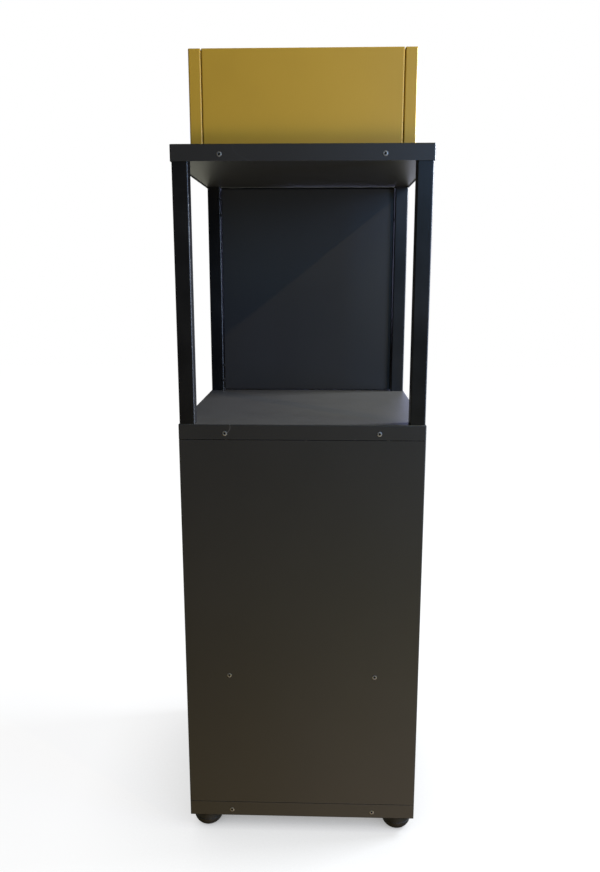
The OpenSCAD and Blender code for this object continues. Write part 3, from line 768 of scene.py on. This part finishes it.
def housing_shape(radii, head, reach, hardware, turns=96):
    """Threaded lock housing, a closed surface: end face, thread, plain neck, flange with a
    rounded rim, a shallow dish round the plug, then back down the bore."""
    bore, body, flange = radii
    edge = 0.45 * head
    neck = 2.5 * MM
    crown = arc((flange - edge, head - edge), edge, 0, 90, 5)
    heights = np.arange(-reach + 0.5 * MM, -neck, hardware.thread_pitch / 4)
    cut = thread(body, hardware.thread_depth, hardware.thread_pitch, heights, turns)
    root = body - hardware.thread_depth
    rows = [(bore + 0.3 * MM, [-reach]), (root - 0.2 * MM, [-reach]), (cut, heights),
            (root, [-neck, 0.0]), (flange - 0.2 * MM, [0.0]), (flange, [0.2 * MM])]
    rows += [(across, [up]) for across, up in crown]
    rows += [(bore + 0.9 * MM, [head]), (bore, [head - 0.25 * MM]), (bore, [0.3 * MM - reach])]
    return turned(*stacked(rows, turns), closed=True)


def nut_shape(bore, apothem, height, turns=96):
    """Hexagon nut, a closed surface: its corners are cut back by a 30 degree chamfer at both
    faces, and its bore is countersunk."""
    sides = hexagon(apothem, turns)
    sink = 0.4 * MM
    cut = np.linspace(0.0, (sides.max() - apothem) * math.tan(math.radians(30)), 4)
    chamfer = [np.minimum(sides, apothem + rise / math.tan(math.radians(30))) for rise in cut]
    rows = [(bore + sink, [0.0])]
    rows += [(outline, [rise]) for outline, rise in zip(chamfer, cut)]
    rows += [(outline, [height - rise]) for outline, rise in zip(reversed(chamfer), reversed(cut))]
    rows += [(bore + sink, [height]), (bore, [height - sink]), (bore, [sink])]
    return turned(*stacked(rows, turns), closed=True)


# ---- Operators ----


def dress(node, material):
    """Puts one material on every face of a CAD node."""
    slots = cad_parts[node].data.materials
    slots.clear()
    slots.append(material)


class STAND_OT_paint_sheets(bpy.types.Operator):
    """Powder-coats the shelves, panels and the service door"""

    bl_idname = "stand.paint_sheets"
    bl_label = "Paint the sheets"

    def execute(self, context):
        look = context.scene.stand_paint
        for node in SHEETS:
            marks = shelf_marks if node == "display_shelf" else None
            dress(node, powder_coat(f"grey_coat_{node}", corners_of(node), tuple(look.panel_colour),
                                    look.panel_roughness, look, marks))
        return {"FINISHED"}


class STAND_OT_paint_frame(bpy.types.Operator):
    """Paints the posts and rails black"""

    bl_idname = "stand.paint_frame"
    bl_label = "Paint the frame"

    def execute(self, context):
        look = context.scene.stand_paint
        for node in TUBES:
            dress(node, tube_paint(f"black_paint_{node}", corners_of(node), tuple(look.frame_colour),
                                   look.frame_roughness, look))
        return {"FINISHED"}


class STAND_OT_paint_header(bpy.types.Operator):
    """Powder-coats the header box yellow"""

    bl_idname = "stand.paint_header"
    bl_label = "Paint the header"

    def execute(self, context):
        look = context.scene.stand_paint
        for node in HEADER:
            dress(node, powder_coat(f"yellow_coat_{node}", corners_of(node),
                                    tuple(look.header_colour), look.header_roughness, look))
        return {"FINISHED"}


class STAND_OT_finish_fittings(bpy.types.Operator):
    """Finishes the small plated and moulded pieces"""

    bl_idname = "stand.finish_fittings"
    bl_label = "Finish the fittings"

    def execute(self, context):
        zinc = zinc_plate("zinc_plate")
        chrome = chrome_plate("chrome_plate")
        nylon = moulded("white_nylon", (0.62, 0.61, 0.57), (0.42, 0.40, 0.36), 0.38, 0.000005)
        for nodes, material in ((ZINC, zinc), (CHROME, chrome), (NYLON, nylon)):
            for node in nodes:
                dress(node, material)
        return {"FINISHED"}


class STAND_OT_add_rivets(bpy.types.Operator):
    """Adds domed blind rivets with their mandrel holes"""

    bl_idname = "stand.add_rivets"
    bl_label = "Add the rivets"

    def execute(self, context):
        hardware = context.scene.stand_hardware
        material = rivet_metal("rivet_aluminium_dulled")
        for node, body in RIVETS.items():
            shapes, painted_shade = [], []
            for points in solids_of(node):
                axis, sign, seat, head, reach, radius = seat_of(points)
                profile = rivet_profile(radius, head, reach, hardware)
                ring, faces = lathe(profile, hardware.rivet_segments)
                shapes.append((turned_to(ring, axis, sign, seat), faces))
                painted_shade.append(rivet_painted_shade(ring, head, hardware))
            add_piece(f"{node}_domed", shapes, material, body, [node], painted_shade)
        return {"FINISHED"}


class STAND_OT_add_feet(bpy.types.Operator):
    """Adds the four moulded feet"""

    bl_idname = "stand.add_feet"
    bl_label = "Add the feet"

    def execute(self, context):
        hardware = context.scene.stand_hardware
        material = moulded("black_rubber", (0.009, 0.0082, 0.0068), (0.026, 0.023, 0.018), 0.55, 0.00004)
        for node in FEET:
            low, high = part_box(node)
            middle = np.array([(low.x + high.x) / 2, (low.y + high.y) / 2, low.z])
            points = solids_of(node)[0] - middle
            across = np.hypot(points[:, 0], points[:, 1])
            floor_r = across[points[:, 2] < 0.1 * MM].max()
            shoulder = points[across > 0.999 * across.max(), 2].min()
            profile = foot_profile(across.max(), floor_r, shoulder, high.z - low.z, hardware)
            ring, faces = lathe(profile, 72, closed=True)
            shapes = [(ring + middle, faces)]
            add_piece(f"{node}_moulded", shapes, material, "stand", [node])
        return {"FINISHED"}


class STAND_OT_add_lock(bpy.types.Operator):
    """Adds the lock's threaded housing and its nut"""

    bl_idname = "stand.add_lock"
    bl_label = "Add the lock"

    def execute(self, context):
        hardware = context.scene.stand_hardware
        points = solids_of("lock_housing")[0]
        axis, sign, seat, head, reach, _ = seat_of(points)
        across = [k for k in AXES if k != axis]
        radii = np.unique(np.round(np.hypot(*(points - seat)[:, across].T), 5))
        ring, faces = housing_shape(radii, head, reach, hardware)
        shapes = [(turned_to(ring, axis, sign, seat), faces)]
        add_piece("lock_housing_threaded", shapes, chrome_plate("chrome_housing"), "door",
                  ["lock_housing"])

        low, high = (np.array(corner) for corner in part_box("lock_nut"))
        size = high - low
        foot = (low + high) / 2
        foot[axis] = low[axis]
        points = solids_of("lock_nut")[0] - foot
        bore = np.hypot(*points[:, across].T).min()
        ring, faces = nut_shape(bore, size[across].min() / 2, size[axis])
        shapes = [(turned_to(ring, axis, 1, foot), faces)]
        add_piece("lock_nut_chamfered", shapes, zinc_plate("zinc_nut"), "door",
                  ["lock_nut"])
        return {"FINISHED"}


class STAND_OT_add_stage(bpy.types.Operator):
    """Sets the pale floor, the studio light and the camera"""

    bl_idname = "stand.add_stage"
    bl_label = "Add the studio"

    def execute(self, context):
        stage = context.scene.stand_stage
        context.scene.view_settings.view_transform = "Standard"
        add_floor(stage)
        add_surroundings()
        add_lights(stage)
        add_camera(stage)
        return {"FINISHED"}


def add_floor(stage):
    """A flat square, 14 m wide, in pale card: it glows, with a painted shadow that dims the glow where
    the stand hides the room from it, and is plain white further out."""
    half = 7.0
    white_from, white_by = 0.6, 1.6
    mesh = bpy.data.meshes.new("floor")
    mesh.from_pydata([(-half, -half, 0), (half, -half, 0), (half, half, 0), (-half, half, 0)], [],
                     [(0, 1, 2, 3)])
    floor = bpy.data.objects.new("floor", mesh)
    bpy.context.scene.collection.objects.link(floor)
    material = bpy.data.materials.new("pale_floor")
    tree = Tree(material)
    place = tree.place()
    across, away, _ = tree.parts(place)
    distance = (across * across + away * away) ** 0.5
    far = distance.step(white_from, white_by)
    # Painted contact shadow: ambient occlusion dims the floor's glow near the stand.
    ao_for_painted_shadow = tree.node("ShaderNodeAmbientOcclusion", {"samples": 16},
                         {"Distance": stage.shadow_reach}, out="AO")
    grain = tree.noise(place, 260.0, detail=3.0) * 0.06 + 0.97
    glow_with_painted_shadow = (ao_for_painted_shadow ** stage.shadow_softness) * grain * stage.floor_glow
    glow = glow_with_painted_shadow * (1.0 - far) + far
    tree.shade(Base_Color=(0.08, 0.08, 0.08), Roughness=0.9, Emission_Strength=1.0,
               Emission_Color=tree.added([(glow, (1.0, 1.0, 1.0))]))
    mesh.materials.append(material)
    floor.visible_diffuse = False
    floor.visible_glossy = False
    floor.visible_shadow = False


def add_surroundings():
    """White behind the stand, and for its light a room: a dim wall in front on the right, a
    pale ground at the sides and the rear, and a ground in front that is orange at the left and
    brighter and pinkish at the right, with a yellow-green band towards the horizon."""
    world = bpy.data.worlds.new("studio")
    bpy.context.scene.world = world
    tree = Tree(world)
    direction = tree.node("ShaderNodeTexCoord", out="Generated")
    across, away, up = tree.parts(direction)
    front = away.step(-0.2, -0.8)
    right = across.step(-0.15, 0.15)
    wall = up.step(-0.05, 0.08) - up.step(0.25, 0.5)
    ground = up.step(-0.10, -0.35) - up.step(-0.40, -0.65)
    room = tree.added([
        (wall * front * across.step(-0.1, 0.25), (0.45, 0.45, 0.30)),
        (ground * (1.0 - front), (1.15, 1.15, 0.95)),
        (up.step(-0.34, -0.44) * front * right, (0.85, 1.05, 0.0)),
        (up.step(-0.40, -0.65) * front, (0.80, 0.50, 0.0)),
        (up.step(-0.40, -0.65) * front * right, (0.70, 0.20, 1.45)),
    ])
    seen = tree.node("ShaderNodeLightPath", out="Is Camera Ray")
    light = tree.node("ShaderNodeBackground", {}, {"Color": room, "Strength": 1.0})
    white = tree.node("ShaderNodeBackground", {}, {"Color": (1.0, 1.0, 1.0, 1.0), "Strength": 1.0})
    both = tree.node("ShaderNodeMixShader", {}, {0: seen, 1: light, 2: white})
    tree.node("ShaderNodeOutputWorld", {}, {"Surface": both})


def add_light(name, place, target, size, power, colour):
    """Rectangular light that looks at a point."""
    data = bpy.data.lights.new(name, "AREA")
    data.shape = "RECTANGLE"
    data.size, data.size_y = size
    data.energy = power
    data.color = colour
    light = bpy.data.objects.new(name, data)
    light.location = place
    light.rotation_euler = (Vector(target) - Vector(place)).to_track_quat("-Z", "Y").to_euler()
    light.visible_camera = False
    bpy.context.scene.collection.objects.link(light)


def add_lights(stage):
    """Soft lights round the stand, and one small lamp that casts the sharp shadow in the bay."""
    add_light("key", (1.6, 0.3, 1.6), (0.0, 0.0, 0.9), (0.6, 0.6), stage.key_power,
              (0.88, 0.93, 1.0))
    add_light("top", (1.0, -0.3, 2.6), (0.0, 0.0, 0.8), (0.5, 0.5), stage.top_power,
              (0.95, 1.0, 0.62))
    add_light("side", (1.6, -0.9, 1.0), (0.0, -0.1, 0.8), (0.6, 1.2), stage.side_power,
              (0.48, 0.63, 1.0))
    add_light("lamp", (1.7, -1.55, 2.33), (0.0, 0.18, 0.95), (0.03, 0.03), stage.lamp_power,
              (1.0, 0.75, 0.40))
    add_light("front", (0.9, -1.7, 1.5), (0.0, -0.1, 0.9), (0.6, 0.6), stage.front_power,
              (0.13, 0.45, 1.0))
    add_light("rear", (0.4, 2.3, 1.3), (0.0, 0.2, 0.7), (1.2, 1.2), stage.rear_power,
              (0.57, 0.62, 1.0))


def add_camera(stage):
    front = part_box("front_panel")[0].y
    place = Vector((stage.camera_side, front - stage.camera_distance, stage.camera_height))
    aim = Vector((stage.aim_side, front, stage.aim_height))
    data = bpy.data.cameras.new("camera")
    data.lens = stage.lens
    camera = bpy.data.objects.new("camera", data)
    camera.location = place
    camera.rotation_euler = (aim - place).to_track_quat("-Z", "Y").to_euler()
    bpy.context.scene.collection.objects.link(camera)
    bpy.context.scene.camera = camera


class STAND_PT_maker(bpy.types.Panel):
    """Sidebar panel with the steps in the order in which they run"""

    bl_idname = "STAND_PT_maker"
    bl_label = "Newspaper stand"
    bl_space_type = "VIEW_3D"
    bl_region_type = "UI"
    bl_category = "Stand"

    def draw(self, context):
        scene = context.scene
        for group in (scene.stand_paint, scene.stand_hardware, scene.stand_stage):
            box = self.layout.box()
            for name in group.__annotations__:
                box.prop(group, name)
        for step in STEPS:
            self.layout.operator(step.bl_idname)


STEPS = (
    STAND_OT_paint_sheets, STAND_OT_paint_frame, STAND_OT_paint_header, STAND_OT_finish_fittings,
    STAND_OT_add_rivets, STAND_OT_add_feet, STAND_OT_add_lock, STAND_OT_add_stage,
)
GROUPS = {"stand_paint": StandPaint, "stand_hardware": StandHardware, "stand_stage": StandStage}


def register():
    for one in (*GROUPS.values(), *STEPS, STAND_PT_maker):
        bpy.utils.register_class(one)
    for name, group in GROUPS.items():
        setattr(bpy.types.Scene, name, PointerProperty(type=group))


def unregister():
    for name in GROUPS:
        delattr(bpy.types.Scene, name)
    for one in reversed((*GROUPS.values(), *STEPS, STAND_PT_maker)):
        bpy.utils.unregister_class(one)


def main():
    register()
    for step in STEPS:
        family, action = step.bl_idname.split(".")
        getattr(getattr(bpy.ops, family), action)()


if __name__ == "__main__":
    main()
